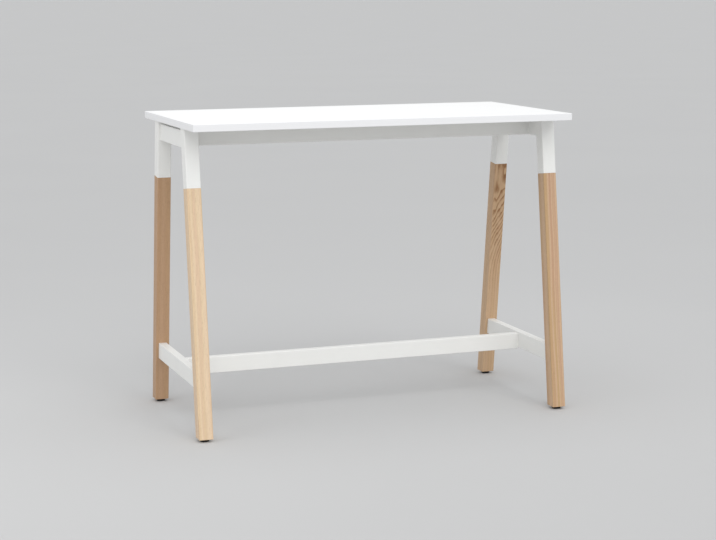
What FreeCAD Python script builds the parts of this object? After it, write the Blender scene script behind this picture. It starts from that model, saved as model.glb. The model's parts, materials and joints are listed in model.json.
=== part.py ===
import FreeCAD, Part
import math
import os
import re
import Sketcher

# A high table: a faced board on a steel tube frame, with splayed ash legs set in steel sockets,
# an H-shaped foot rest and four levelling feet.
# The origin lies on the floor under the middle of the top.
# +X runs along the table, -Y is its front and +Z is up.

# Driving sizes, in millimetres and degrees
SIZES = {
    # Top
    "table_height": 1090,
    "top_length": 1400,
    "top_depth": 700,
    "top_thickness": 25,
    "band_thickness": 2,
    "band_radius": 1.5,
    # Legs and their sockets
    "leg_section": 50,
    "leg_edge_radius": 3,
    "leg_end_chamfer": 1,
    "leg_inset": 4,
    "foot_spread": 640,
    "splay_angle": 7.2,
    "socket_drop": 203,
    "tenon_length": 120,
    "tenon_edge_radius": 2,
    "tenon_clearance": 0.2,
    "leg_screw_diameter": 5,
    "leg_screw_length": 24,
    "leg_screw_edge": 30,
    "leg_screw_key": 3,
    "pilot_end_gap": 1,
    # Tubes of the head frame and the foot rest
    "tube_height": 60,
    "tube_width": 30,
    "tube_wall": 2,
    "tube_radius": 3,
    "tube_inner_radius": 1,
    "shadow_gap": 10,
    "rail_spread": 132,
    "foot_rest_height": 232,
    "foot_rail_drop": 6,
    # Stubs inside the tube ends
    "stub_length": 60,
    "stub_wall": 3,
    "stub_clearance": 0.3,
    "stub_screw_inset": 32,
    "leg_stub_base": 6,
    "wood_screw_pitch": 26,
    "wood_screw_diameter": 5,
    "wood_screw_length": 36,
    "wood_screw_head": 9,
    "wood_screw_head_height": 2.8,
    "wood_screw_crown": 5.5,
    "wood_screw_rim": 1,
    "wood_screw_key": 4,
    # Machine screws and what holds the top
    "screw_diameter": 6,
    "screw_length": 10,
    "screw_end_gap": 1,
    "screw_key": 4,
    "screw_key_depth": 1.8,
    "screw_clearance": 0.3,
    "thread_clearance": 0.05,
    "fixing_end_margin": 136,
    "insert_diameter": 10,
    "insert_length": 15,
    "insert_clearance": 0.05,
    "spacer_diameter": 20,
    # Levelling feet
    "pad_diameter": 32,
    "pad_top_diameter": 26,
    "pad_height": 6,
    "pad_rim": 3,
    "pad_chamfer": 1.2,
    "pivot_diameter": 6,
    "pivot_length": 3.5,
    "pivot_end_gap": 0.3,
    "hex_width": 13,
    "hex_height": 3.7,
    "foot_gap": 0.3,
    "stud_diameter": 8,
    "stud_length": 24,
    "stud_end_gap": 6,
    "foot_insert_diameter": 12,
    "foot_insert_length": 20,
}

# Places that follow from the sizes, as formulas of them
UNDERSIDE = "(table_height - top_thickness)"
SEAM = f"({UNDERSIDE} - socket_drop)"
FLOOR_CLEARANCE = "(pad_height + hex_height + foot_gap)"
LEG_X = "(top_length / 2 - leg_inset - leg_section / 2)"
RAIL_HALF = f"({LEG_X} - tube_width / 2)"
RAIL_Y = "(rail_spread / 2)"
HEAD_MIDDLE = f"({UNDERSIDE} - shadow_gap - tube_height / 2)"
FOOT_MIDDLE = "(foot_rest_height - tube_height / 2)"
FOOT_RAIL_MIDDLE = f"({FOOT_MIDDLE} - foot_rail_drop)"
STUB_WIDTH = "(tube_width - 2 * tube_wall - 2 * stub_clearance)"
STUB_HEIGHT = "(tube_height - 2 * tube_wall - 2 * stub_clearance)"
STUB_INNER_WIDTH = f"({STUB_WIDTH} - 2 * stub_wall)"
STUB_INNER_HEIGHT = f"({STUB_HEIGHT} - 2 * stub_wall)"
FIXING_X = f"({RAIL_HALF} - fixing_end_margin)"
TOP_SCREW_LENGTH = "(tube_height + shadow_gap + insert_length - screw_end_gap)"
CLEARANCE_HOLE = "(screw_diameter + 2 * screw_clearance)"
THREAD_HOLE = "(screw_diameter + 2 * thread_clearance)"
LEG_SCREW_HOLE = "(leg_screw_diameter + 2 * thread_clearance)"
FOOT_Y = f"({FLOOR_CLEARANCE} * tan(splay_angle))"

# The four corners: side along X, end along Y
CORNERS = {
    "front_left": (-1, -1),
    "front_right": (1, -1),
    "back_left": (-1, 1),
    "back_right": (1, 1),
}
SIDES = {"left": -1, "right": 1}
ENDS = {"front": -1, "back": 1}

# The sketcher's numbers for the points of a line or circle, for its axes and for its origin
START, END, CENTRE = range(1, 4)
HORIZONTAL_AXIS, VERTICAL_AXIS = range(-1, -3, -1)
ORIGIN = (HORIZONTAL_AXIS, START)

X_AXIS = FreeCAD.Vector(1, 0, 0)
Y_AXIS = FreeCAD.Vector(0, 1, 0)
Z_AXIS = FreeCAD.Vector(0, 0, 1)

doc = FreeCAD.newDocument("high_table")
sheet = doc.addObject("Spreadsheet::Sheet", "Sizes")
for row, (name, number) in enumerate(SIZES.items(), start=1):
    sheet.set(f"A{row}", name)
    sheet.set(f"B{row}", str(number))
    sheet.setAlias(f"B{row}", name)
doc.recompute()

sub_parts = []


# Formulas and placing

def formula(text):
    """A formula of the sheet: each size's name gets the sheet's name in front."""
    return re.sub(r"[a-z_]+", lambda word: "Sizes." + word[0] if word[0] in SIZES else word[0], text)


def value(text):
    return float(sheet.evalExpression(formula(text)))


def bind(thing, prop, text):
    thing.setExpression(prop, formula(text))


def place(thing, x, y, z):
    for axis, text in zip("xyz", (x, y, z)):
        bind(thing, ".Placement.Base." + axis, text)


def new_body(label, x="0", y="0", z="0", turn=0):
    """An empty body at a place, turned about Z by a multiple of a right angle."""
    body = doc.addObject("PartDesign::Body", label)
    body.Label = label
    body.Placement.Rotation = FreeCAD.Rotation(Z_AXIS, turn)
    place(body, x, y, z)
    return body


def sub_part(label, x="0", y="0", z="0", turn=0):
    """A body that is one of the table's pieces."""
    body = new_body(label, x, y, z, turn)
    sub_parts.append(body)
    return body


def corner_body(label, side, end):
    """A piece of one leg, on the floor under its axis. Its own +Y points to the table's middle."""
    turn = 0 if end < 0 else 180
    return sub_part(label, f"{side} * {LEG_X}", f"{end} * foot_spread / 2", "0", turn)


def corner_point(side, end, x, y, z):
    """A place in a leg's own frame, as a place in the table's frame."""
    return f"{side} * {LEG_X} - {end} * ({x})", f"{end} * (foot_spread / 2 - ({y}))", z


def inner_sign(side, end):
    """The X direction towards the table's middle, in a leg's own frame."""
    return side * end


# Sketches and features

def attach(thing, body, role, x, y, z):
    """Set a thing on one of the body's origin planes, moved in that plane's own frame."""
    plane = next(feature for feature in body.Origin.OriginFeatures if feature.Role == role)
    thing.AttachmentSupport = [(plane, "")]
    thing.MapMode = "FlatFace"
    for axis, text in zip("xyz", (x, y, z)):
        if text != "0":
            bind(thing, ".AttachmentOffset.Base." + axis, text)


def new_sketch(body, role, x="0", y="0", z="0", tilt=None):
    """A sketch on one of the body's origin planes, moved and tilted in that plane's own frame."""
    sketch = body.newObject("Sketcher::SketchObject", "Sketch")
    if tilt:
        sketch.AttachmentOffset = FreeCAD.Placement(FreeCAD.Vector(), FreeCAD.Rotation(X_AXIS, value(tilt)))
        bind(sketch, ".AttachmentOffset.Rotation.Angle", tilt)
    attach(sketch, body, role, x, y, z)
    return sketch


def dimension(sketch, kind, text, *ends):
    """A dimension bound to a formula. Its ends are swapped where the formula is negative."""
    if value(text) < 0:
        text = f"-({text})"
        ends = ends[2:] + ends[:2]
    index = sketch.addConstraint(Sketcher.Constraint(kind, *ends, value(text)))
    bind(sketch, f"Constraints[{index}]", text)


def fix_point(sketch, geometry, point, across, along):
    if across == "0":
        sketch.addConstraint(Sketcher.Constraint("PointOnObject", geometry, point, VERTICAL_AXIS))
    else:
        dimension(sketch, "DistanceX", across, *ORIGIN, geometry, point)
    if along == "0":
        sketch.addConstraint(Sketcher.Constraint("PointOnObject", geometry, point, HORIZONTAL_AXIS))
    else:
        dimension(sketch, "DistanceY", along, *ORIGIN, geometry, point)


def polygon(sketch, points):
    places = [FreeCAD.Vector(value(across), value(along), 0) for across, along in points]
    first = sketch.GeometryCount
    count = len(points)
    for i in range(count):
        sketch.addGeometry(Part.LineSegment(places[i], places[(i + 1) % count]), False)
    for i in range(count):
        following = first + (i + 1) % count
        sketch.addConstraint(Sketcher.Constraint("Coincident", first + i, END, following, START))
        fix_point(sketch, first + i, START, *points[i])


def rectangle(sketch, left, right, low, high):
    polygon(sketch, [(left, low), (right, low), (right, high), (left, high)])


def hexagon(sketch, width):
    """A hexagon of a given width across its flats."""
    corner = f"({width}) / 2 / cos(30)"
    angles = range(15, 375, 60)
    polygon(sketch, [(f"{corner} * cos({angle})", f"{corner} * sin({angle})") for angle in angles])


def circle(sketch, diameter, across="0", along="0"):
    centre = FreeCAD.Vector(value(across), value(along), 0)
    index = sketch.addGeometry(Part.Circle(centre, Z_AXIS, value(diameter) / 2), False)
    dimension(sketch, "Diameter", diameter, index)
    fix_point(sketch, index, CENTRE, across, along)


def rounded_rectangle(sketch, width, height, radius):
    """A rectangle about the sketch's origin, with four equal round corners."""
    half_width, half_height, round_radius = value(width) / 2, value(height) / 2, value(radius)
    flat_x, flat_y = half_width - round_radius, half_height - round_radius
    outline = [(flat_x, -half_height), (half_width, flat_y), (-flat_x, half_height), (-half_width, -flat_y)]
    starts = [(-flat_x, -half_height), (half_width, -flat_y), (flat_x, half_height), (-half_width, flat_y)]
    centres = [(flat_x, -flat_y), (flat_x, flat_y), (-flat_x, flat_y), (-flat_x, -flat_y)]
    lines, arcs = [], []
    for quarter in range(4):
        line = Part.LineSegment(FreeCAD.Vector(*starts[quarter], 0), FreeCAD.Vector(*outline[quarter], 0))
        lines.append(sketch.addGeometry(line, False))
        corner = Part.Circle(FreeCAD.Vector(*centres[quarter], 0), Z_AXIS, round_radius)
        begin = math.radians(90 * quarter - 90)
        finish = math.radians(90 * quarter)
        arcs.append(sketch.addGeometry(Part.ArcOfCircle(corner, begin, finish), False))
    for quarter in range(4):
        direction = "Horizontal" if quarter % 2 == 0 else "Vertical"
        sketch.addConstraint(Sketcher.Constraint(direction, lines[quarter]))
        sketch.addConstraint(Sketcher.Constraint("Tangent", lines[quarter], END, arcs[quarter], START))
        sketch.addConstraint(
            Sketcher.Constraint("Tangent", arcs[quarter], END, lines[(quarter + 1) % 4], START))
    for arc in arcs[1:]:
        sketch.addConstraint(Sketcher.Constraint("Equal", arcs[0], arc))
    dimension(sketch, "Radius", radius, arcs[0])
    bottom, right, top, left = lines
    dimension(sketch, "DistanceX", width, left, START, right, START)
    dimension(sketch, "DistanceY", height, bottom, START, top, START)
    dimension(sketch, "DistanceX", f"({width}) / 2", *ORIGIN, right, START)
    dimension(sketch, "DistanceY", f"({height}) / 2", *ORIGIN, top, START)


def tube_section(sketch, width, height, wall, radius):
    rounded_rectangle(sketch, width, height, radius)
    inner_width = f"{width} - 2 * {wall}"
    inner_height = f"{height} - 2 * {wall}"
    rounded_rectangle(sketch, inner_width, inner_height, "tube_inner_radius")


def set_extent(feature, sketch, length, symmetric, reverse):
    feature.Profile = sketch
    feature.SideType = "Symmetric" if symmetric else "One side"
    feature.Reversed = reverse
    if length is None:
        feature.Type = "ThroughAll"
    else:
        bind(feature, "Length", length)
    doc.recompute()


def pad(body, sketch, length, symmetric=False, reverse=False):
    set_extent(body.newObject("PartDesign::Pad", "Pad"), sketch, length, symmetric, reverse)


def pocket(body, sketch, length=None, symmetric=False, reverse=False):
    """A cut, right through unless it has a length. One that takes nothing away is an error."""
    before = body.Shape.Volume
    set_extent(body.newObject("PartDesign::Pocket", "Pocket"), sketch, length, symmetric, reverse)
    if not body.Shape.Volume < before:
        raise RuntimeError("a cut in " + body.Label + " takes nothing away")


def revolve(body, points):
    """A solid turned about Z from a half section, whose points are radii and heights."""
    profile = new_sketch(body, "XZ_Plane")
    polygon(profile, points)
    turned = body.newObject("PartDesign::Revolution", "Revolution")
    turned.Profile = profile
    turned.ReferenceAxis = (profile, ["V_Axis"])
    turned.Angle = 360
    doc.recompute()


def dress_edges(body, kind, prop, size, chosen):
    """A fillet or a chamfer on the edges that are chosen, in the body's own frame."""
    base = body.Tip
    names = [f"Edge{number}" for number, edge in enumerate(base.Shape.Edges, start=1) if chosen(edge)]
    dressing = body.newObject("PartDesign::" + kind, kind)
    dressing.Base = (base, names)
    bind(dressing, prop, size)
    doc.recompute()


def group(label, prototype, places):
    """Copies of one piece as one sub-part. Each place is a rotation and three formulas."""
    copies = []
    for rotation, point in places:
        copy = doc.addObject("App::Link", label + "_copy")
        copy.LinkedObject = prototype
        copy.Placement = FreeCAD.Placement(FreeCAD.Vector(), rotation)
        place(copy, *point)
        copies.append(copy)
    compound = doc.addObject("Part::Compound", label)
    compound.Label = label
    compound.Links = copies
    sub_parts.append(compound)


# Top

def top_fixings():
    """Where a screw, a spacer and an insert hold the top: three on each head rail."""
    return [(x, f"{end} * {RAIL_Y}") for end in ENDS.values() for x in (f"-{FIXING_X}", "0", FIXING_X)]


def make_board():
    body = sub_part("tabletop_board", z=UNDERSIDE)
    outline = new_sketch(body, "XY_Plane")
    half_length = "(top_length / 2 - band_thickness)"
    half_depth = "(top_depth / 2 - band_thickness)"
    rectangle(outline, f"-{half_length}", half_length, f"-{half_depth}", half_depth)
    pad(body, outline, "top_thickness")
    holes = new_sketch(body, "XY_Plane")
    for x, y in top_fixings():
        circle(holes, "insert_diameter + 2 * insert_clearance", x, y)
    pocket(body, holes, "insert_length", reverse=True)


def make_edge_band(name, turn, length, x, y, free_ends):
    """A strip on one edge of the board. Its own -Y points out of the board."""
    body = sub_part("edge_band_" + name, x, y, UNDERSIDE, turn)
    section = new_sketch(body, "YZ_Plane")
    rectangle(section, "-band_thickness", "0", "0", "top_thickness")
    pad(body, section, length, symmetric=True)
    near_board = -value("band_thickness") / 4
    half_length = value(length) / 2

    def shows(edge):
        """Whether an edge lies off the glued face and, on a strip with covered ends, runs along it."""
        off_board = edge.CenterOfMass.y < near_board
        return off_board and (free_ends or edge.BoundBox.XLength > half_length)

    dress_edges(body, "Fillet", "Radius", "band_radius", shows)


def make_edge_bands():
    inner_x = "(top_length / 2 - band_thickness)"
    inner_y = "(top_depth / 2 - band_thickness)"
    make_edge_band("front", 0, "top_length", "0", f"-{inner_y}", True)
    make_edge_band("back", 180, "top_length", "0", inner_y, True)
    make_edge_band("right", 90, f"2 * {inner_y}", inner_x, "0", False)
    make_edge_band("left", 270, f"2 * {inner_y}", f"-{inner_x}", "0", False)


# Tubes of the head frame and the foot rest

def half_gap(height):
    """Half the free distance between the two legs of an end, at a height."""
    return f"(foot_spread / 2 - ({height}) * tan(splay_angle) - leg_section / 2 / cos(splay_angle))"


def make_crossbar(label, side, middle):
    """A tube between the two legs of an end, with its ends cut to the splay."""
    body = sub_part(label, f"{side} * {LEG_X}", "0", middle)
    section = new_sketch(body, "XZ_Plane")
    tube_section(section, "tube_width", "tube_height", "tube_wall", "tube_radius")
    widest = half_gap(f"{middle} - tube_height / 2")
    pad(body, section, f"2 * {widest}", symmetric=True)
    cuts = new_sketch(body, "YZ_Plane")
    low_gap = half_gap(f"{middle} - tube_height")
    high_gap = half_gap(f"{middle} + tube_height")
    beyond = f"({widest} + tube_height)"
    for end in ENDS.values():
        polygon(cuts, [
            (f"{end} * {low_gap}", "-tube_height"),
            (f"{end} * {beyond}", "-tube_height"),
            (f"{end} * {beyond}", "tube_height"),
            (f"{end} * {high_gap}", "tube_height"),
        ])
    pocket(body, cuts, symmetric=True)
    return body


def make_rail(label, y, middle):
    """A tube along the table between the crossbars, drilled and sunk below for the screws into its stubs."""
    body = sub_part(label, "0", y, middle)
    section = new_sketch(body, "YZ_Plane")
    tube_section(section, "tube_width", "tube_height", "tube_wall", "tube_radius")
    pad(body, section, f"2 * {RAIL_HALF}", symmetric=True)
    sunk_holes(body, [(f"{side} * ({RAIL_HALF} - stub_screw_inset)", "0") for side in SIDES.values()])
    return body


def countersink(body, role, place, hole, wide_end_first):
    """A cone through a tube's wall, on one of the body's origin planes, wide at the outside."""
    before = body.Shape.Volume
    cone = body.newObject("PartDesign::SubtractiveCone", "Countersink")
    attach(cone, body, role, *place)
    narrow = f"({hole}) / 2"
    radii = (f"{narrow} + tube_wall", narrow) if wide_end_first else (narrow, f"{narrow} + tube_wall")
    for prop, radius in zip(("Radius1", "Radius2"), radii):
        bind(cone, prop, radius)
    bind(cone, "Height", "tube_wall")
    doc.recompute()
    if not body.Shape.Volume < before:
        raise RuntimeError("a countersink in " + body.Label + " takes nothing away")


def sunk_holes(tube, points, both_walls=False):
    """Holes in a tube's lower wall, or in both, sunk below so that their screws lie flush."""
    holes = new_sketch(tube, "XY_Plane")
    for x, y in points:
        circle(holes, CLEARANCE_HOLE, x, y)
    pocket(tube, holes, symmetric=both_walls)
    for x, y in points:
        countersink(tube, "XY_Plane", (x, y, "-tube_height / 2"), THREAD_HOLE, wide_end_first=True)


def make_head_frame():
    for name, side in SIDES.items():
        make_crossbar("head_crossbar_" + name, side, HEAD_MIDDLE)
    for name, end in ENDS.items():
        rail = make_rail("head_rail_" + name, f"{end} * {RAIL_Y}", HEAD_MIDDLE)
        sunk_holes(rail, [(x, "0") for x in (f"-{FIXING_X}", "0", FIXING_X)], both_walls=True)


def make_foot_rest():
    screw_y = f"({half_gap(FOOT_MIDDLE)} - stub_screw_inset)"
    for name, side in SIDES.items():
        crossbar = make_crossbar("foot_crossbar_" + name, side, FOOT_MIDDLE)
        sunk_holes(crossbar, [("0", f"{end} * {screw_y}") for end in ENDS.values()])
    make_rail("foot_rail", "0", FOOT_RAIL_MIDDLE)


# Stubs that the tubes slip over

def make_stub(label, side, y, middle):
    """A short tube welded to a crossbar's inner face, inside the end of a rail."""
    turn = 0 if side < 0 else 180
    body = sub_part(label, f"{side} * {RAIL_HALF}", y, middle, turn)
    section = new_sketch(body, "YZ_Plane")
    tube_section(section, STUB_WIDTH, STUB_HEIGHT, "stub_wall", "tube_inner_radius + stub_wall")
    pad(body, section, "stub_length")
    hole = new_sketch(body, "XY_Plane")
    circle(hole, THREAD_HOLE, "stub_screw_inset")
    pocket(body, hole)


def inner_face(height):
    """How far a leg's inner face lies from the foot of its axis, at a height, in the leg's own frame."""
    return f"(({height}) * tan(splay_angle) + leg_section / 2 / cos(splay_angle))"


def make_leg_stub(label, side, end):
    """A cup on a leg's inner face, inside the end of a foot crossbar."""
    body = corner_body(label, side, end)
    low = f"({FOOT_MIDDLE} - {STUB_HEIGHT} / 2)"
    high = f"({FOOT_MIDDLE} + {STUB_HEIGHT} / 2)"
    seat = inner_face(FOOT_MIDDLE)
    mouth = f"({seat} + stub_length)"
    profile = new_sketch(body, "YZ_Plane")
    polygon(profile, [(inner_face(low), low), (mouth, low), (mouth, high), (inner_face(high), high)])
    pad(body, profile, STUB_WIDTH, symmetric=True)
    floor_of_cup = f"({inner_face(high)} + leg_stub_base)"
    cup = new_sketch(body, "XZ_Plane", y=FOOT_MIDDLE, z=f"-{floor_of_cup}")
    rounded_rectangle(cup, STUB_INNER_WIDTH, STUB_INNER_HEIGHT, "tube_inner_radius")
    pocket(body, cup)
    screws = new_sketch(body, "XZ_Plane", y=FOOT_MIDDLE, z=f"-{floor_of_cup}")
    for side_up in (-1, 1):
        circle(screws, "wood_screw_diameter + 2 * screw_clearance", "0", f"{side_up} * wood_screw_pitch / 2")
    pocket(body, screws, reverse=True)
    thread = new_sketch(body, "XY_Plane", z=FOOT_MIDDLE)
    circle(thread, THREAD_HOLE, "0", f"{seat} + stub_screw_inset")
    pocket(body, thread)


def make_stubs():
    for name, side in SIDES.items():
        for end_name, end in ENDS.items():
            make_stub(f"head_stub_{end_name}_{name}", side, f"{end} * {RAIL_Y}", HEAD_MIDDLE)
        make_stub("foot_stub_" + name, side, "0", FOOT_RAIL_MIDDLE)
    for name, (side, end) in CORNERS.items():
        make_leg_stub("leg_stub_" + name, side, end)


# Legs and sockets

def leg_section_sketch(body, height=SEAM):
    """A sketch square to the leg's axis, where the wood meets the steel or at another height."""
    return new_sketch(body, "XY_Plane", y=f"{height} * tan(splay_angle)", z=height, tilt="-splay_angle")


def leg_screw_points():
    """Where the screws enter a leg, along its axis from the seam, as places across and up."""
    points = []
    for along in ("leg_screw_edge", "(tenon_length - leg_screw_edge)"):
        across = f"{SEAM} * tan(splay_angle) + {along} * sin(splay_angle)"
        up = f"{SEAM} + {along} * cos(splay_angle)"
        points.append((across, up))
    return points


def make_socket(label, side, end):
    """A square tube round the leg's top end, cut level under the board."""
    body = corner_body(label, side, end)
    section = leg_section_sketch(body)
    tube_section(section, "leg_section", "leg_section", "tube_wall", "leg_edge_radius")
    pad(body, section, "socket_drop / cos(splay_angle) + leg_section")
    level = new_sketch(body, "YZ_Plane")
    middle = f"{UNDERSIDE} * tan(splay_angle)"
    above = f"{UNDERSIDE} + 2 * leg_section"
    rectangle(level, f"{middle} - leg_section", f"{middle} + leg_section", UNDERSIDE, above)
    pocket(body, level, symmetric=True)
    inwards = inner_sign(side, end)
    holes = new_sketch(body, "YZ_Plane")
    for across, up in leg_screw_points():
        circle(holes, LEG_SCREW_HOLE, across, up)
    pocket(body, holes, reverse=inwards > 0)
    outer_wall = "leg_section / 2 - tube_wall" if inwards > 0 else "-leg_section / 2"
    for across, up in leg_screw_points():
        countersink(body, "YZ_Plane", (across, up, outer_wall), LEG_SCREW_HOLE, wide_end_first=inwards < 0)


def make_leg(label, side, end):
    """Square ash with a tenon for the socket, cut level at the floor end and drilled for its fittings.

    The foot end is shaped on a short block, from which the leg then rises to the seam.
    """
    body = corner_body(label, side, end)
    block_top = f"({FLOOR_CLEARANCE} + 2 * leg_section)"
    section = leg_section_sketch(body, block_top)
    rounded_rectangle(section, "leg_section", "leg_section", "leg_edge_radius")
    pad(body, section, "3 * leg_section", reverse=True)
    level = new_sketch(body, "YZ_Plane")
    below = "-2 * leg_section"
    rectangle(level, f"{FOOT_Y} - leg_section", f"{FOOT_Y} + leg_section", below, FLOOR_CLEARANCE)
    pocket(body, level, symmetric=True)
    low = value(FLOOR_CLEARANCE) + value("leg_section") / 2
    dress_edges(body, "Chamfer", "Size", "leg_end_chamfer", lambda edge: edge.CenterOfMass.z < low)
    shaft = leg_section_sketch(body, block_top)
    rounded_rectangle(shaft, "leg_section", "leg_section", "leg_edge_radius")
    pad(body, shaft, f"({SEAM} - {block_top}) / cos(splay_angle)")
    high = value(SEAM) - value("leg_section")
    dress_edges(body, "Chamfer", "Size", "leg_end_chamfer", lambda edge: edge.CenterOfMass.z > high)
    tenon = leg_section_sketch(body)
    tenon_width = "(leg_section - 2 * tube_wall - 2 * tenon_clearance)"
    rounded_rectangle(tenon, tenon_width, tenon_width, "tenon_edge_radius")
    pad(body, tenon, "tenon_length")
    foot_hole = new_sketch(body, "XY_Plane")
    circle(foot_hole, "foot_insert_diameter + 2 * insert_clearance", "0", FOOT_Y)
    pocket(body, foot_hole, f"{FLOOR_CLEARANCE} + stud_length + stud_end_gap", reverse=True)
    inwards = inner_sign(side, end)
    hole_end = f"{inwards} * (leg_section / 2 - leg_screw_length - pilot_end_gap)"
    screw_holes = new_sketch(body, "YZ_Plane", z=hole_end)
    for across, up in leg_screw_points():
        circle(screw_holes, LEG_SCREW_HOLE, across, up)
    pocket(body, screw_holes, reverse=inwards > 0)
    pilot_end = f"({wood_screw_seat()} - wood_screw_length - pilot_end_gap)"
    pilots = new_sketch(body, "XZ_Plane", y=FOOT_MIDDLE, z=f"-{pilot_end}")
    for side_up in (-1, 1):
        circle(pilots, "wood_screw_diameter + 2 * thread_clearance", "0", f"{side_up} * wood_screw_pitch / 2")
    pocket(body, pilots)


def wood_screw_seat():
    """Where the heads of a leg stub's screws sit, on the floor of the cup, in the leg's own frame."""
    return f"({inner_face(f'({FOOT_MIDDLE} + {STUB_HEIGHT} / 2)')} + leg_stub_base)"


def make_legs():
    for name, (side, end) in CORNERS.items():
        make_socket("leg_socket_" + name, side, end)
        make_leg("leg_" + name, side, end)


# Screws, spacers and inserts

def make_round_head_screw(name):
    """A wood screw along +Z whose head sits below the XY plane, with a hexagon key."""
    body = new_body(name)
    revolve(body, [
        ("0", "-wood_screw_head_height"),
        ("wood_screw_crown / 2", "-wood_screw_head_height"),
        ("wood_screw_head / 2", "-wood_screw_rim"),
        ("wood_screw_head / 2", "0"),
        ("wood_screw_diameter / 2", "0"),
        ("wood_screw_diameter / 2", "wood_screw_length"),
        ("0", "wood_screw_length"),
    ])
    key = new_sketch(body, "XY_Plane", z="-wood_screw_head_height")
    hexagon(key, "wood_screw_key")
    pocket(body, key, "screw_key_depth", reverse=True)
    return body


def make_flat_head_screw(name, kind, length):
    """A countersunk screw along +Z, with its head as deep as a tube's wall and flush with the XY plane."""
    body = new_body(name)
    radius = f"{kind}_diameter / 2"
    revolve(body, [
        ("0", "0"),
        (f"{radius} + tube_wall", "0"),
        (radius, "tube_wall"),
        (radius, f"{length} - {radius} / 2"),
        (f"{radius} / 2", length),
        ("0", length),
    ])
    key = new_sketch(body, "XY_Plane")
    hexagon(key, f"{kind}_key")
    pocket(body, key, "screw_key_depth", reverse=True)
    return body


def make_ring(name, diameter, bore, height):
    body = new_body(name)
    section = new_sketch(body, "XY_Plane")
    circle(section, diameter)
    circle(section, bore)
    pad(body, section, height)
    return body


def make_frame_screws():
    """The screws that hold the tubes on their stubs, all driven from below."""
    upright = FreeCAD.Rotation()
    screw = make_flat_head_screw("frame_screw", "screw", "screw_length")
    rail_x = f"({RAIL_HALF} - stub_screw_inset)"
    head_bottom = f"{HEAD_MIDDLE} - tube_height / 2"
    group("head_rail_screws", screw, [
        (upright, (f"{side} * {rail_x}", f"{end} * {RAIL_Y}", head_bottom))
        for side in SIDES.values() for end in ENDS.values()])
    group("foot_rail_screws", screw, [
        (upright, (f"{side} * {rail_x}", "0", f"{FOOT_RAIL_MIDDLE} - tube_height / 2"))
        for side in SIDES.values()])
    bar_y = f"({half_gap(FOOT_MIDDLE)} - stub_screw_inset)"
    group("foot_crossbar_screws", screw, [
        (upright, (f"{side} * {LEG_X}", f"{end} * {bar_y}", f"{FOOT_MIDDLE} - tube_height / 2"))
        for side, end in CORNERS.values()])


def make_leg_screws():
    """The screws through the sockets into the tenons, and those through the leg stubs into the legs."""
    flat_screw = make_flat_head_screw("leg_screw", "leg_screw", "leg_screw_length")
    flat_places = []
    for side, end in CORNERS.values():
        inwards = inner_sign(side, end)
        into_leg = FreeCAD.Rotation(Y_AXIS, 90 * side)
        for across, up in leg_screw_points():
            point = corner_point(side, end, f"{inwards} * leg_section / 2", across, up)
            flat_places.append((into_leg, point))
    group("leg_screws", flat_screw, flat_places)
    round_screw = make_round_head_screw("stub_screw")
    round_places = []
    for side, end in CORNERS.values():
        outwards = FreeCAD.Rotation(X_AXIS, -90 * end)
        for side_up in (-1, 1):
            height = f"{FOOT_MIDDLE} + {side_up} * wood_screw_pitch / 2"
            round_places.append((outwards, corner_point(side, end, "0", wood_screw_seat(), height)))
    group("leg_stub_screws", round_screw, round_places)


def make_top_fixings():
    """Spacers across the shadow gap, inserts in the board and long screws up through the head rails."""
    upright = FreeCAD.Rotation()
    spacer = make_ring("top_spacer", "spacer_diameter", CLEARANCE_HOLE, "shadow_gap")
    insert = make_ring("top_insert", "insert_diameter", THREAD_HOLE, "insert_length")
    screw = make_flat_head_screw("top_screw", "screw", TOP_SCREW_LENGTH)
    rail_top = f"{HEAD_MIDDLE} + tube_height / 2"
    rail_bottom = f"{HEAD_MIDDLE} - tube_height / 2"
    for label, piece, height in (
        ("top_spacers", spacer, rail_top),
        ("top_inserts", insert, UNDERSIDE),
        ("top_screws", screw, rail_bottom),
    ):
        group(label, piece, [(upright, (x, y, height)) for x, y in top_fixings()])


# Levelling feet

def make_foot(name, side, end):
    """A threaded insert in the leg's end, a stud that turns in it and a pad that the stud carries."""
    x, y, floor = corner_point(side, end, "0", FOOT_Y, "0")
    insert = sub_part("foot_insert_" + name, x, y, FLOOR_CLEARANCE)
    ring = new_sketch(insert, "XY_Plane")
    circle(ring, "foot_insert_diameter")
    circle(ring, "stud_diameter + 2 * thread_clearance")
    pad(insert, ring, "foot_insert_length")

    stud = sub_part("foot_stud_" + name, x, y, floor)
    drive = new_sketch(stud, "XY_Plane", z="pad_height")
    hexagon(drive, "hex_width")
    pad(stud, drive, "hex_height")
    thread = new_sketch(stud, "XY_Plane", z="pad_height + hex_height")
    circle(thread, "stud_diameter")
    pad(stud, thread, "stud_length")
    pivot = new_sketch(stud, "XY_Plane", z="pad_height")
    circle(pivot, "pivot_diameter")
    pad(stud, pivot, "pivot_length", reverse=True)

    foot = sub_part("foot_pad_" + name, x, y, floor)
    revolve(foot, [
        ("0", "0"),
        ("pad_diameter / 2 - pad_chamfer", "0"),
        ("pad_diameter / 2", "pad_chamfer"),
        ("pad_diameter / 2", "pad_rim"),
        ("pad_top_diameter / 2", "pad_height"),
        ("0", "pad_height"),
    ])
    seat = new_sketch(foot, "XY_Plane", z="pad_height")
    circle(seat, "pivot_diameter + 2 * thread_clearance")
    pocket(foot, seat, "pivot_length + pivot_end_gap")


def make_feet():
    for name, (side, end) in CORNERS.items():
        make_foot(name, side, end)


# Build, check and write

def check():
    doc.recompute()
    for thing in doc.Objects:
        if "Invalid" in thing.State or "Error" in thing.State:
            raise RuntimeError(thing.Label + " did not build")
    for piece in sub_parts:
        if piece.Shape.isNull() or not piece.Shape.isValid() or not piece.Shape.Solids:
            raise RuntimeError(piece.Label + " has no valid shape")


def write():
    os.makedirs("parts", exist_ok=True)
    for piece in sub_parts:
        piece.Shape.exportStep(f"parts/{piece.Label}.step")


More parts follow.
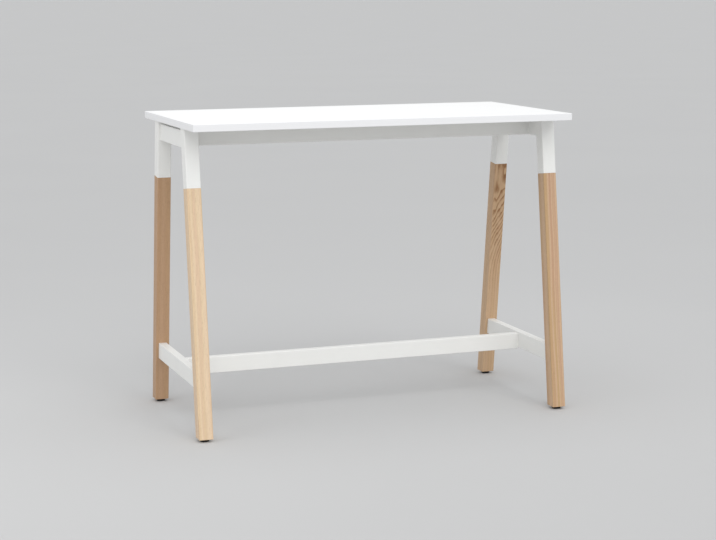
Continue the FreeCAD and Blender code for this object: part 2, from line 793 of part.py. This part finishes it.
make_board()
make_edge_bands()
make_head_frame()
make_foot_rest()
make_stubs()
make_legs()
make_frame_screws()
make_leg_screws()
make_top_fixings()
make_feet()
check()
write()
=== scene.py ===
"""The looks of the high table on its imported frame: finishes, threads, weld beads, studio and camera."""

import json
import math

import bmesh
import bpy
from mathutils import Matrix, Vector


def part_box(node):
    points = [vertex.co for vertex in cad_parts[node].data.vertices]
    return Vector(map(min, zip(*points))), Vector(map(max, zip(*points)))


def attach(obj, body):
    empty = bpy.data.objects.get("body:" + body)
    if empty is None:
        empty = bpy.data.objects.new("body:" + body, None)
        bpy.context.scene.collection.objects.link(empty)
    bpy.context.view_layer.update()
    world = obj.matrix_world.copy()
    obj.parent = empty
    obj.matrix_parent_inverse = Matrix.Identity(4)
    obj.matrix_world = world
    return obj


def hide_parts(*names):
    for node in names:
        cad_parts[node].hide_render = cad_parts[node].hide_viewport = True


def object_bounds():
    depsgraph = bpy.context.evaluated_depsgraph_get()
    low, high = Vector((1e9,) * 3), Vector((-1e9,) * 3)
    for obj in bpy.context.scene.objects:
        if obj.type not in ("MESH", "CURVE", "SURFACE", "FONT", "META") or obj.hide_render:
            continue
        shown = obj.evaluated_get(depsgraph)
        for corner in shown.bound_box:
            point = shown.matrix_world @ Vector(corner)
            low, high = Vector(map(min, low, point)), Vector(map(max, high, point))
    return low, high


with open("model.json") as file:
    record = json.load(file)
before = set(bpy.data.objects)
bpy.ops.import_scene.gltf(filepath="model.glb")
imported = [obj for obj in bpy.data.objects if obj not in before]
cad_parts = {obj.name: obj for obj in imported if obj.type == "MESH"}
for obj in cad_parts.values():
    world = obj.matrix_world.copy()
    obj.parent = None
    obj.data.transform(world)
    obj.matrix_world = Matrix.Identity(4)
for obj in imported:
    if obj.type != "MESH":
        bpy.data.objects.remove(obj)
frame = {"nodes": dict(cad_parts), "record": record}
cad_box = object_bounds()

SIDES = {"left": -1, "right": 1}
ENDS = {"front": -1, "back": 1}
CORNERS = {f"{end}_{side}": (SIDES[side], ENDS[end]) for end in ENDS for side in SIDES}

# The photograph's camera: its frame and focal length in pixels, its place in metres, its turn in radians
PHOTO_WIDTH = 716
FOCAL_LENGTH = 1725.9
CAMERA_PLACE = Vector((-2.149, -5.911, 1.5392))
CAMERA_YAW = 0.3499
CAMERA_PITCH = 0.1625
CAMERA_ROLL = -0.0029

# The studio: the pale floor's reach in metres, and the light from all around
FLOOR_HALF_SIZE = 1000.0
SKY_COLOUR = (0.98, 0.99, 1.0, 1)
SKY_STRENGTH = 0.78

# The levelling studs, in metres
THREAD_RADIUS = 0.004
THREAD_PITCH = 0.00125
THREAD_DEPTH = 0.00075
# Each flank's share of the pitch
THREAD_FLANK = 0.44
# The tip's length, and the radius that it loses per length
TIP_LENGTH = 2 * THREAD_DEPTH
TIP_TAPER = 0.5
HEX_ACROSS = 0.013
HEX_HEIGHT = 0.0037
HEX_FACE_RADIUS = 0.0061
HEX_CHAMFER_ANGLE = math.radians(30)
PIVOT_RADIUS = 0.003
RINGS_PER_TURN = 9
STUD_STEPS = 36
STUD_SHARP_ANGLE = math.radians(28)

# The weld beads between the head crossbars and the sockets, in metres
BEAD_RADIUS = 0.0016
BEAD_RIPPLE = 0.00022
BEAD_RIPPLE_LENGTH = 0.0026
RINGS_PER_RIPPLE = 4
BEAD_STEPS = 8
BEAD_SHARP_ANGLE = math.radians(60)
TUBE_CORNER = 0.003
TUBE_CORNER_STEPS = 4

# Points of a solid this close in height, in metres, lie on one level face
SAME_LEVEL = 1e-5


def end_centre(node, highest):
    """The middle of a node's top or bottom face."""
    points = [vertex.co for vertex in frame["nodes"][node].data.vertices]
    level = max(p.z for p in points) if highest else min(p.z for p in points)
    face = [p for p in points if abs(p.z - level) < SAME_LEVEL]
    x = [p.x for p in face]
    y = [p.y for p in face]
    return Vector(((min(x) + max(x)) / 2, (min(y) + max(y)) / 2, level))


def leg_line(corner):
    """The foot point of a leg's axis, and its direction up the leg."""
    foot = end_centre(f"leg_{corner}", highest=False)
    head = end_centre(f"leg_socket_{corner}", highest=True)
    return foot, (head - foot).normalized()


# Node materials

def add(tree, kind, inputs=None, **settings):
    """A new shader node. An input that is a socket gets linked, and any other gets set."""
    node = tree.nodes.new("ShaderNode" + kind)
    for name, setting in settings.items():
        setattr(node, name, setting)
    for name, source in (inputs or {}).items():
        if isinstance(source, bpy.types.NodeSocket):
            tree.links.new(source, node.inputs[name])
        else:
            node.inputs[name].default_value = source
    return node


def maths(tree, operation, first, second=0.0):
    """The result of one sum on two numbers, each a socket or an even value."""
    return add(tree, "Math", {0: first, 1: second}, operation=operation).outputs["Value"]


def noise(tree, vector, scale, detail=2.0, roughness=0.5):
    """A cloudy pattern between 0 and 1, with its scale in features per metre."""
    inputs = {"Vector": vector, "Scale": scale, "Detail": detail, "Roughness": roughness}
    return add(tree, "TexNoise", inputs).outputs["Fac"]


def stretched(tree, vector, across, along, seed):
    """Coordinates for a texture that runs along Z, with its scales across and along."""
    inputs = {"Vector": vector, "Scale": (across, across, along), "Location": (seed, 3 * seed, 7 * seed)}
    return add(tree, "Mapping", inputs).outputs["Vector"]


def remap(tree, factor, from_low, from_high, to_low, to_high, smooth=False):
    """A number moved from one range to another, and held at the new range's ends."""
    kind = "SMOOTHSTEP" if smooth else "LINEAR"
    inputs = {0: factor, 1: from_low, 2: from_high, 3: to_low, 4: to_high}
    return add(tree, "MapRange", inputs, interpolation_type=kind).outputs["Result"]


def spread_noise(tree, pattern, low, high):
    """A noise, most of which lies between 0.3 and 0.7, spread over a range."""
    return remap(tree, pattern, 0.3, 0.7, low, high)


def blend_colours(tree, factor, first, second, kind="MIX"):
    """A mix of two colours, each a socket or a triple of linear values."""
    node = add(tree, "Mix", data_type="RGBA", blend_type=kind)
    sockets = (node.inputs["Factor"], node.inputs[6], node.inputs[7])
    for socket, source in zip(sockets, (factor, first, second)):
        if isinstance(source, bpy.types.NodeSocket):
            tree.links.new(source, socket)
        elif isinstance(source, tuple):
            socket.default_value = (*source, 1)
        else:
            socket.default_value = source
    return node.outputs[2]


def bump(tree, height, distance, normal=None):
    """A fine relief with its depth in metres, on top of another relief if one is given."""
    inputs = {"Height": height, "Distance": distance, "Strength": 1.0}
    if normal:
        inputs["Normal"] = normal
    return add(tree, "Bump", inputs).outputs["Normal"]


def new_finish(name, **constants):
    """A material with a principled surface, whose even values are set on its own sockets."""
    material = bpy.data.materials.new(name)
    material.use_nodes = True
    tree = material.node_tree
    shader = tree.nodes["Principled BSDF"]
    for socket, setting in constants.items():
        shader.inputs[socket.replace("_", " ")].default_value = setting
    coordinates = add(tree, "TexCoord").outputs["Object"]
    return material, tree, shader, coordinates


def connect(tree, shader, colour, roughness, normal):
    """Link what varies over a finish to its surface."""
    for socket, source in (("Base Color", colour), ("Roughness", roughness), ("Normal", normal)):
        tree.links.new(source, shader.inputs[socket])


def white_board():
    """Matt melamine with a fine pearl surface."""
    material, tree, shader, place = new_finish("white_board", Specular_IOR_Level=0.4)
    cloud = noise(tree, place, 9.0)
    pearl = noise(tree, place, 1400.0, detail=3.0)
    colour = blend_colours(tree, cloud, (0.875, 0.877, 0.872), (0.895, 0.895, 0.893))
    roughness = spread_noise(tree, pearl, 0.42, 0.52)
    connect(tree, shader, colour, roughness, bump(tree, pearl, 0.00003))
    return material


def white_edge():
    """Satin plastic band, drawn along its length."""
    material, tree, shader, place = new_finish("white_edge", Specular_IOR_Level=0.45)
    drawn = noise(tree, stretched(tree, place, 25.0, 900.0, 0.3), 1.0)
    grain = noise(tree, place, 1800.0)
    colour = blend_colours(tree, drawn, (0.855, 0.857, 0.868), (0.885, 0.886, 0.895))
    roughness = spread_noise(tree, grain, 0.32, 0.42)
    connect(tree, shader, colour, roughness, bump(tree, grain, 0.00001))
    return material


def white_steel():
    """Powder coat with its orange peel."""
    material, tree, shader, place = new_finish("white_steel", Specular_IOR_Level=0.5)
    cloud = noise(tree, place, 14.0)
    peel = noise(tree, place, 420.0, detail=1.0)
    speck = noise(tree, place, 2600.0)
    colour = blend_colours(tree, cloud, (0.83, 0.83, 0.808), (0.865, 0.865, 0.842))
    roughness = spread_noise(tree, speck, 0.36, 0.5)
    normal = bump(tree, speck, 0.000012, bump(tree, peel, 0.00009))
    connect(tree, shader, colour, roughness, normal)
    return material


def bare_steel():
    """Mill finish with rolling marks."""
    material, tree, shader, place = new_finish("bare_steel", Metallic=1.0)
    rolled = noise(tree, stretched(tree, place, 900.0, 30.0, 0.7), 1.0, detail=4.0)
    colour = blend_colours(tree, rolled, (0.33, 0.33, 0.335), (0.48, 0.475, 0.47))
    roughness = spread_noise(tree, rolled, 0.38, 0.6)
    connect(tree, shader, colour, roughness, bump(tree, rolled, 0.00002))
    return material


def zinc_steel():
    """Bright zinc plate with a faint bluish and yellowish tint."""
    material, tree, shader, place = new_finish("zinc_steel", Metallic=1.0)
    tint = noise(tree, place, 120.0)
    spangle = noise(tree, place, 1500.0, detail=3.0)
    colour = blend_colours(tree, tint, (0.60, 0.62, 0.66), (0.70, 0.68, 0.62))
    roughness = spread_noise(tree, spangle, 0.22, 0.4)
    connect(tree, shader, colour, roughness, bump(tree, spangle, 0.00001))
    return material


def black_plastic():
    """Moulded plastic with a spark-eroded texture."""
    material, tree, shader, place = new_finish("black_plastic", Specular_IOR_Level=0.45)
    cloud = noise(tree, place, 160.0)
    texture = noise(tree, place, 3200.0, detail=3.0)
    colour = blend_colours(tree, cloud, (0.010, 0.010, 0.011), (0.022, 0.022, 0.023))
    roughness = spread_noise(tree, texture, 0.45, 0.62)
    connect(tree, shader, colour, roughness, bump(tree, texture, 0.00004))
    return material


# The legs' ash

class Timber:
    """One leg's timber: its tree's pith, its streaks and the grain's sweep near its head, and a tone that
    is partly the wood's own colour and partly painted light.
    """

    def __init__(self, pith, seed, tone, streaks, ring_width=0.0034, sweep=0.0):
        self.pith = pith
        self.seed = seed
        self.tone = tone
        self.streaks = streaks
        self.ring_width = ring_width
        self.sweep = sweep


# Each leg's tone is partly its timber's own colour and partly painted light: the front left leg's paler,
# bluer tone is a painted sheen, and the back left leg's darker tone is partly painted shade.
TIMBERS = {
    "front_left": Timber((0.16, 0.09), seed=1.3, tone=(1.06, 1.11, 1.14), streaks=0.45),
    "front_right": Timber((-0.19, 0.08), seed=2.6, tone=(0.78, 0.71, 0.66), streaks=1.0),
    "back_left": Timber((0.13, -0.12), seed=7.7, tone=(0.68, 0.59, 0.53), streaks=0.35),
    "back_right": Timber((-0.18, 0.13), seed=9.2, tone=(0.80, 0.74, 0.68), streaks=0.3, ring_width=0.008,
                         sweep=0.25),
}
PINK_STREAK = (0.68, 0.45, 0.315)
YELLOW_STREAK = (0.69, 0.505, 0.28)
PALE_WOOD = (0.80, 0.61, 0.42)
EARLY_WOOD = (0.50, 0.29, 0.15)
FIGURED_WOOD = (0.34, 0.175, 0.07)
PORES = (0.25, 0.13, 0.06)

# Features per metre of the patterns in the wood, across the grain and along it
WANDER = (9.0, 1.6)
CURL = (34.0, 9.0)
STREAKS = (95.0, 1.1)
FIBRES = (1500.0, 22.0)
VESSELS = (2600.0, 95.0)
PATCHES = (70.0, 26.0)

# How far the rings wander in metres, and how many rings they curl where the grain sweeps, at least in part
WANDER_REACH = 0.02
CURL_REACH = 5.0
LEAST_CURL = 0.15
# Shares of a ring at which the late wood is full, and at which it starts to end
LATE_WOOD_FULL, LATE_WOOD_END = 0.55, 0.93
# How strongly the rings show, and how strongly in the plain lower half of a leg with swept grain
RING_CONTRAST, PLAIN_RING_CONTRAST = 0.34, 0.06
# Heights up a leg between which the grain sweeps and its figure comes up
SWEEP_START, SWEEP_END = 0.42, 1.02
FIGURE_START, FIGURE_END = 0.28, 0.66
# How far from a leg's middle, towards the table's left end, the figure fades out
FIGURE_EDGE = (-0.025, -0.016)
# The figure's least depth between its dark patches, and in the late wood
LEAST_PATCH, LATE_WOOD_FIGURE = 0.3, 0.15
# How dark the pores are, and the depth of the grain's relief in metres
PORE_SHARE = 0.55
GRAIN_DEPTH = 0.00012


def leg_coordinates(tree, place, corner):
    """Coordinates in a leg's own frame: Z runs up its axis from the foot."""
    foot, direction = leg_line(corner)
    tilt = math.atan2(direction.y, direction.z)
    turned_foot = Matrix.Rotation(tilt, 3, "X") @ foot
    inputs = {"Vector": place, "Rotation": (tilt, 0, 0), "Location": -turned_foot}
    return add(tree, "Mapping", inputs).outputs["Vector"]


def wave(tree, vector, reach):
    """A smooth shift to either side of zero."""
    return maths(tree, "MULTIPLY", maths(tree, "SUBTRACT", 0.5, noise(tree, vector, 1.0)), reach)


def ring_phase(tree, leg, height, timber):
    """How many growth rings lie between the pith and a point of the leg."""
    shift = wave(tree, stretched(tree, leg, *WANDER, timber.seed), WANDER_REACH)
    if timber.sweep:
        swept = remap(tree, height, SWEEP_START, SWEEP_END, 0.0, -timber.sweep, smooth=True)
        shift = maths(tree, "ADD", shift, swept)
    moved = add(tree, "VectorMath", {0: leg, 1: (-timber.pith[0], -timber.pith[1], 0)}).outputs["Vector"]
    sideways = add(tree, "CombineXYZ", {"X": shift}).outputs["Vector"]
    moved = add(tree, "VectorMath", {0: moved, 1: sideways}).outputs["Vector"]
    flat = add(tree, "VectorMath", {0: moved, 1: (1, 1, 0)}, operation="MULTIPLY").outputs["Vector"]
    radius = add(tree, "VectorMath", {0: flat}, operation="LENGTH").outputs["Value"]
    phase = maths(tree, "DIVIDE", radius, timber.ring_width)
    if timber.sweep:
        curl = wave(tree, stretched(tree, leg, *CURL, timber.seed), CURL_REACH)
        share = remap(tree, height, SWEEP_START, SWEEP_END, LEAST_CURL, 1.0)
        phase = maths(tree, "ADD", phase, maths(tree, "MULTIPLY", curl, share))
    return phase


def ring_zones(tree, phase):
    """The early and the late wood of each ring, both from 0 to 1."""
    ring = maths(tree, "FRACT", phase)
    late_wood = remap(tree, ring, 0.0, LATE_WOOD_FULL, 0.0, 1.0, smooth=True)
    ring_end = remap(tree, ring, LATE_WOOD_END, 1.0, 1.0, 0.0, smooth=True)
    late_wood = maths(tree, "MULTIPLY", late_wood, ring_end)
    return maths(tree, "SUBTRACT", 1.0, late_wood), late_wood


def streaked_colour(tree, leg, phase, timber):
    """The ground colour: long pink and yellow streaks, and years of paler wood."""
    least, most = 0.5 - 0.5 * timber.streaks, 0.5 + 0.5 * timber.streaks
    streak = noise(tree, stretched(tree, leg, *STREAKS, 2 * timber.seed), 1.0)
    tint = remap(tree, streak, 0.41, 0.59, least, most, smooth=True)
    colour = blend_colours(tree, tint, PINK_STREAK, YELLOW_STREAK)
    years = add(tree, "TexNoise", {"W": phase, "Scale": 0.28, "Detail": 2.0}, noise_dimensions="1D")
    pale = remap(tree, years.outputs["Fac"], 0.40, 0.60, least, most, smooth=True)
    return blend_colours(tree, pale, colour, PALE_WOOD)


def ringed_colour(tree, colour, early_wood, contrast):
    """The ground colour, darker in each ring's early wood."""
    return blend_colours(tree, maths(tree, "MULTIPLY", early_wood, contrast), colour, EARLY_WOOD)


def figured_colour(tree, leg, axes, colour, early_wood, timber):
    """Rings that are almost plain low on the leg, and a dark uneven figure near its head."""
    contrast = remap(tree, axes["Z"], FIGURE_START, FIGURE_END, PLAIN_RING_CONTRAST, RING_CONTRAST)
    colour = ringed_colour(tree, colour, early_wood, contrast)
    figure = remap(tree, axes["Z"], FIGURE_START, FIGURE_END, 0.0, 1.0, smooth=True)
    figure = maths(tree, "MULTIPLY", figure, remap(tree, axes["X"], *FIGURE_EDGE, 0.0, 1.0, smooth=True))
    uneven = noise(tree, stretched(tree, leg, *PATCHES, 3 * timber.seed), 1.0)
    depth = maths(tree, "MULTIPLY", figure, remap(tree, uneven, 0.34, 0.56, LEAST_PATCH, 1.0))
    share = maths(tree, "MULTIPLY", depth, remap(tree, early_wood, 0.0, 1.0, LATE_WOOD_FIGURE, 1.0))
    return blend_colours(tree, share, colour, FIGURED_WOOD)


def fibrous_colour(tree, colour, fibre):
    """A colour made lighter and darker from fibre to fibre."""
    shade = remap(tree, fibre, 0.25, 0.75, 0.90, 1.08)
    shade = add(tree, "CombineColor", {"Red": shade, "Green": shade, "Blue": shade}).outputs["Color"]
    return blend_colours(tree, 1.0, colour, shade, "MULTIPLY")


def ash(corner):
    """Lacquered ash: growth rings about the pith, open pores in the early wood, and streaks of tint."""
    timber = TIMBERS[corner]
    material, tree, shader, place = new_finish(f"ash_{corner}", Specular_IOR_Level=0.4)
    leg = leg_coordinates(tree, place, corner)
    axes = add(tree, "SeparateXYZ", {"Vector": leg}).outputs
    phase = ring_phase(tree, leg, axes["Z"], timber)
    early_wood, late_wood = ring_zones(tree, phase)
    fibre = noise(tree, stretched(tree, leg, *FIBRES, timber.seed), 1.0, detail=3.0, roughness=0.6)
    vessel = noise(tree, stretched(tree, leg, *VESSELS, 5 * timber.seed), 1.0, detail=1.0)
    pores = maths(tree, "MULTIPLY", remap(tree, vessel, 0.56, 0.66, 0.0, 1.0, smooth=True), early_wood)

    colour = streaked_colour(tree, leg, phase, timber)
    if timber.sweep:
        colour = figured_colour(tree, leg, axes, colour, early_wood, timber)
    else:
        colour = ringed_colour(tree, colour, early_wood, RING_CONTRAST)
    colour = fibrous_colour(tree, colour, fibre)
    colour = blend_colours(tree, maths(tree, "MULTIPLY", pores, PORE_SHARE), colour, PORES)
    # Multiply by the leg's tone, which holds painted sheen and painted shade as well as the wood's own
    # colour.
    colour = blend_colours(tree, 1.0, colour, timber.tone, "MULTIPLY")

    roughness = remap(tree, late_wood, 0.0, 1.0, 0.56, 0.44)
    grain = maths(tree, "SUBTRACT", maths(tree, "MULTIPLY", fibre, 0.35), pores)
    connect(tree, shader, colour, roughness, bump(tree, grain, GRAIN_DEPTH))
    return material


def dress_nodes():
    """Give each CAD node the finish of its slot, and each leg its own timber."""
    makers = (white_board, white_edge, white_steel, bare_steel, zinc_steel, black_plastic)
    finishes = {maker.__name__: maker() for maker in makers}
    timbers = {f"leg_{corner}": ash(corner) for corner in CORNERS}
    for sub_part in frame["record"]["subparts"]:
        name = sub_part["node"]
        finish = timbers.get(name) or finishes[sub_part["material_slot"]]
        for slot in frame["nodes"][name].material_slots:
            slot.material = finish
    return finishes


# Pieces with detail that the frame's solids leave out

def new_piece(name, points, faces, finish, sharp_angle=math.radians(30)):
    """A mesh object with its faces turned outwards, smooth up to the angle at which an edge is sharp."""
    mesh = bpy.data.meshes.new(name)
    mesh.from_pydata(points, [], faces)
    built = bmesh.new()
    built.from_mesh(mesh)
    bmesh.ops.recalc_face_normals(built, faces=built.faces)
    built.to_mesh(mesh)
    built.free()
    mesh.shade_smooth()
    mesh.set_sharp_from_angle(angle=sharp_angle)
    mesh.materials.append(finish)
    piece = bpy.data.objects.new(name, mesh)
    bpy.context.scene.collection.objects.link(piece)
    return piece


def at_angle(size, angle):
    """A ring's height or radius, either of which may change round the ring."""
    return size(angle) if callable(size) else size


def turned_points(centre, rings):
    """Points of stacked rings, each a height and a radius."""
    points = []
    for height, radius in rings:
        for step in range(STUD_STEPS):
            angle = 2 * math.pi * step / STUD_STEPS
            reach = at_angle(radius, angle)
            x, y = centre.x + reach * math.cos(angle), centre.y + reach * math.sin(angle)
            points.append((x, y, at_angle(height, angle)))
    return points


def stacked_faces(rings):
    """The quads between a number of stacked rings, and a cap at each end."""
    faces = []
    for ring in range(rings - 1):
        low = ring * STUD_STEPS
        for step in range(STUD_STEPS):
            after = (step + 1) % STUD_STEPS
            faces.append((low + step, low + after, low + STUD_STEPS + after, low + STUD_STEPS + step))
    faces.append(tuple(range(STUD_STEPS)))
    faces.append(tuple(range((rings - 1) * STUD_STEPS, rings * STUD_STEPS)))
    return faces


def hex_radius(angle):
    """The outline of the hexagon that a spanner turns."""
    half_side = math.pi / 6
    off_flat = (angle + half_side) % (2 * half_side) - half_side
    return HEX_ACROSS / 2 / math.cos(off_flat)


def hex_chamfer(angle):
    """How far the hexagon's sides stop short of its faces."""
    return (hex_radius(angle) - HEX_FACE_RADIUS) * math.tan(HEX_CHAMFER_ANGLE)


def foot_rings(low, hex_low):
    """The pivot that sits in the pad, and the chamfered hexagon."""
    hex_high = hex_low + HEX_HEIGHT
    return [
        (low, PIVOT_RADIUS),
        (hex_low, PIVOT_RADIUS),
        (hex_low, HEX_FACE_RADIUS),
        (lambda angle: hex_low + hex_chamfer(angle), hex_radius),
        (lambda angle: hex_high - hex_chamfer(angle), hex_radius),
        (hex_high, HEX_FACE_RADIUS),
    ]


def thread_radius(height, high):
    """The outline of a right-hand thread's section at a height, tapered near the stud's tip."""
    tip = THREAD_RADIUS - TIP_TAPER * max(0.0, height - (high - TIP_LENGTH))

    def radius(angle):
        turn = (height / THREAD_PITCH - angle / (2 * math.pi)) % 1
        depth = THREAD_DEPTH * (1 - min(1, min(turn, 1 - turn) / THREAD_FLANK))
        return min(THREAD_RADIUS - depth, tip)
    return radius


def thread_rings(low, high):
    """The threaded shank, from the hexagon to the tip."""
    count = math.ceil((high - low) / THREAD_PITCH * RINGS_PER_TURN)
    heights = [low + (high - low) * step / count for step in range(count + 1)]
    return [(height, thread_radius(height, high)) for height in heights]


def make_stud(corner, finish):
    """A zinc-plated stud with a real thread, which shows when its foot is screwed out."""
    node = f"foot_stud_{corner}"
    low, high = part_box(node)
    hex_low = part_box(f"foot_pad_{corner}")[1].z
    centre = (low + high) / 2
    rings = foot_rings(low.z, hex_low) + thread_rings(hex_low + HEX_HEIGHT, high.z)
    points = turned_points(centre, rings)
    piece = new_piece(f"threaded_{node}", points, stacked_faces(len(rings)), finish, STUD_SHARP_ANGLE)
    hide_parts(node)
    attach(piece, f"stud_{corner}")


def tube_outline(low, high):
    """The outline of a crossbar's section in X and Z, with its corners rounded."""
    outline = []
    centres = [(high.x, high.z), (low.x, high.z), (low.x, low.z), (high.x, low.z)]
    for quarter, (x, z) in enumerate(centres):
        middle_x = x - math.copysign(TUBE_CORNER, x - (low.x + high.x) / 2)
        middle_z = z - math.copysign(TUBE_CORNER, z - (low.z + high.z) / 2)
        for step in range(TUBE_CORNER_STEPS + 1):
            angle = math.pi / 2 * (quarter + step / TUBE_CORNER_STEPS)
            across, up = TUBE_CORNER * math.cos(angle), TUBE_CORNER * math.sin(angle)
            outline.append((middle_x + across, middle_z + up))
    return outline


def resampled(outline, spacing):
    """Points spaced along a closed outline, each with its outward direction."""
    corners = [Vector(point) for point in outline]
    places = []
    for start, stop in zip(corners, corners[1:] + corners[:1]):
        along = stop - start
        count = max(1, round(along.length / spacing))
        outward = Vector((along.y, -along.x)).normalized()
        places += [(start + along * step / count, outward) for step in range(count)]
    return places


def inner_face(corner):
    """A point of a socket's side towards the other leg, that side's direction, and the leg's direction."""
    end = CORNERS[corner][1]
    foot, direction = leg_line(corner)
    low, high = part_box(f"leg_socket_{corner}")
    inwards = Vector((0, -end * direction.z, end * direction.y))
    return foot + (high.x - low.x) / 2 * inwards, inwards, direction


def loop_faces(rings):
    """The quads of a bead that closes on itself."""
    faces = []
    for ring in range(rings):
        start, after = ring * BEAD_STEPS, (ring + 1) % rings * BEAD_STEPS
        for step in range(BEAD_STEPS):
            beside = (step + 1) % BEAD_STEPS
            faces.append((start + step, after + step, after + beside, start + beside))
    return faces


def make_bead(corner, finish):
    """The weld between a head crossbar and a socket: a rippled bead round the tube's end."""
    side = "left" if CORNERS[corner][0] < 0 else "right"
    low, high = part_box(f"head_crossbar_{side}")
    face_point, inwards, direction = inner_face(corner)
    places = resampled(tube_outline(low, high), BEAD_RIPPLE_LENGTH / RINGS_PER_RIPPLE)
    points = []
    for ring, (place, outward) in enumerate(places):
        on_face = face_point.y + (place.y - face_point.z) * direction.y / direction.z
        middle = Vector((place.x, on_face, place.y))
        spread = Vector((outward.x, 0, outward.y))
        radius = BEAD_RADIUS + BEAD_RIPPLE * math.sin(2 * math.pi * ring / RINGS_PER_RIPPLE)
        for step in range(BEAD_STEPS):
            angle = 2 * math.pi * step / BEAD_STEPS
            points.append(middle + radius * (math.cos(angle) * spread + math.sin(angle) * inwards))
    piece = new_piece(f"weld_bead_{corner}", points, loop_faces(len(places)), finish, BEAD_SHARP_ANGLE)
    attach(piece, "frame")


# Studio

def make_floor():
    """A plain pale floor that reaches the horizon."""
    material, tree, shader, place = new_finish("studio_floor", Specular_IOR_Level=0.2)
    cloud = noise(tree, place, 0.6)
    grain = noise(tree, place, 500.0)
    colour = blend_colours(tree, cloud, (0.55, 0.55, 0.55), (0.57, 0.57, 0.57))
    roughness = spread_noise(tree, grain, 0.75, 0.9)
    connect(tree, shader, colour, roughness, bump(tree, grain, 0.00005))
    half = FLOOR_HALF_SIZE
    points = [(-half, -half, 0), (half, -half, 0), (half, half, 0), (-half, half, 0)]
    floor = new_piece("studio_floor", points, [(0, 1, 2, 3)], material)


def aim(lamp, towards_lamp):
    """Link a lamp that shines against the given direction."""
    lamp.rotation_euler = towards_lamp.to_track_quat("Z", "Y").to_euler()
    bpy.context.scene.collection.objects.link(lamp)


def make_sun(name, elevation, strength, spread):
    """A soft distant light in front of the table, with its height and spread in degrees."""
    light = bpy.data.lights.new(name, "SUN")
    light.energy = strength
    light.angle = math.radians(spread)
    rise = math.radians(elevation)
    aim(bpy.data.objects.new(name, light), Vector((0, -math.cos(rise), math.sin(rise))))


def make_softbox(name, place, power, size):
    """A rectangular light that faces the middle of the table, in metres and watts."""
    light = bpy.data.lights.new(name, "AREA")
    light.energy = power
    light.shape = "RECTANGLE"
    light.size, light.size_y = size
    lamp = bpy.data.objects.new(name, light)
    lamp.location = place
    aim(lamp, lamp.location - (cad_box[0] + cad_box[1]) / 2)


def make_lights():
    """Even light from all around, a soft main light from the front, and two softboxes."""
    world = bpy.data.worlds.new("studio")
    world.use_nodes = True
    sky = world.node_tree.nodes["Background"]
    sky.inputs["Color"].default_value = SKY_COLOUR
    sky.inputs["Strength"].default_value = SKY_STRENGTH
    bpy.context.scene.world = world
    make_sun("ceiling_lights", elevation=40, strength=1.07, spread=50)
    make_softbox("window", place=(-2.7, -0.6, 2.0), power=9.5, size=(1.6, 1.6))
    make_softbox("overhead", place=(0, -0.3, 3.0), power=11.0, size=(3.0, 1.8))


def make_camera():
    """The photograph's camera."""
    ahead = Vector((math.sin(CAMERA_YAW) * math.cos(CAMERA_PITCH),
                    math.cos(CAMERA_YAW) * math.cos(CAMERA_PITCH),
                    -math.sin(CAMERA_PITCH)))
    level = Vector((math.cos(CAMERA_YAW), -math.sin(CAMERA_YAW), 0))
    upright = level.cross(ahead)
    right = level * math.cos(CAMERA_ROLL) + upright * math.sin(CAMERA_ROLL)
    up = upright * math.cos(CAMERA_ROLL) - level * math.sin(CAMERA_ROLL)
    lens = bpy.data.cameras.new("photo_camera")
    lens.sensor_fit = "HORIZONTAL"
    lens.lens = FOCAL_LENGTH * lens.sensor_width / PHOTO_WIDTH
    camera = bpy.data.objects.new("photo_camera", lens)
    turn = Matrix((right, up, -ahead)).transposed().to_4x4()
    camera.matrix_world = Matrix.Translation(CAMERA_PLACE) @ turn
    bpy.context.scene.collection.objects.link(camera)
    bpy.context.scene.camera = camera


finishes = dress_nodes()
for corner in CORNERS:
    make_stud(corner, finishes["zinc_steel"])
    make_bead(corner, finishes["white_steel"])
make_floor()
make_lights()
make_camera()
bpy.context.scene.view_settings.view_transform = "Standard"
